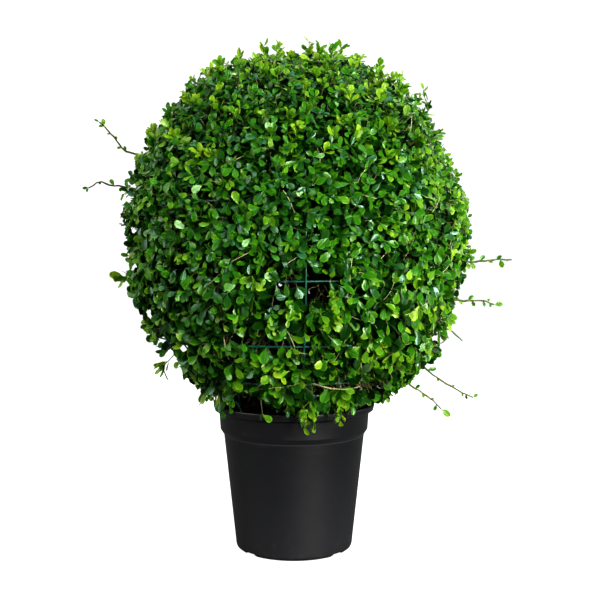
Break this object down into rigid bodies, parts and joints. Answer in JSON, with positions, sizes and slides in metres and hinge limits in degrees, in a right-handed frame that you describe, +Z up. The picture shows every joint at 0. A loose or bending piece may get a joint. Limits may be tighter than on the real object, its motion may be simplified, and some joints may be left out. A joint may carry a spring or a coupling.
{
  "type": "potted ball topiary",
  "caption": "Fukien tea shrub clipped to a leafy ball over a green wire form, on a short hidden stem in a black plastic nursery pot.",
  "frame": {"origin": "centre of the pot's underside, on the ground", "axes": "+Z up, -Y towards the front of the picture, +X to its right"},
  "size_m": [0.8313, 0.8035, 1.0074],
  "materials": {
    "pot_plastic": "satin",
    "soil": "matte",
    "bark": "rough",
    "coated_wire": "satin",
    "foliage": "satin"
  },
  "bodies": {
    "root": {"pot": "pot_plastic", "root_ball": "soil", "trunk": "bark", "bough_upper_1": "bark", "bough_upper_2": "bark", "bough_upper_3": "bark", "bough_upper_4": "bark", "bough_upper_5": "bark", "bough_lower_1": "bark", "bough_lower_2": "bark", "bough_lower_3": "bark", "bough_lower_4": "bark", "bough_lower_5": "bark", "bough_lower_6": "bark", "wire_rib_1": "coated_wire", "wire_rib_2": "coated_wire", "wire_rib_3": "coated_wire", "wire_rib_4": "coated_wire", "wire_rib_5": "coated_wire", "wire_rib_6": "coated_wire", "wire_ring_1": "coated_wire", "wire_ring_2": "coated_wire", "wire_ring_3": "coated_wire", "wire_ring_4": "coated_wire", "wire_ring_5": "coated_wire", "wire_ring_6": "coated_wire", "wire_ring_top": "coated_wire", "foliage_top": "foliage", "foliage_upper_1": "foliage", "foliage_upper_2": "foliage", "foliage_upper_3": "foliage", "foliage_upper_4": "foliage", "foliage_upper_5": "foliage", "foliage_lower_1": "foliage", "foliage_lower_2": "foliage", "foliage_lower_3": "foliage", "foliage_lower_4": "foliage", "foliage_lower_5": "foliage", "foliage_lower_6": "foliage"}
  },
  "joints": []
}
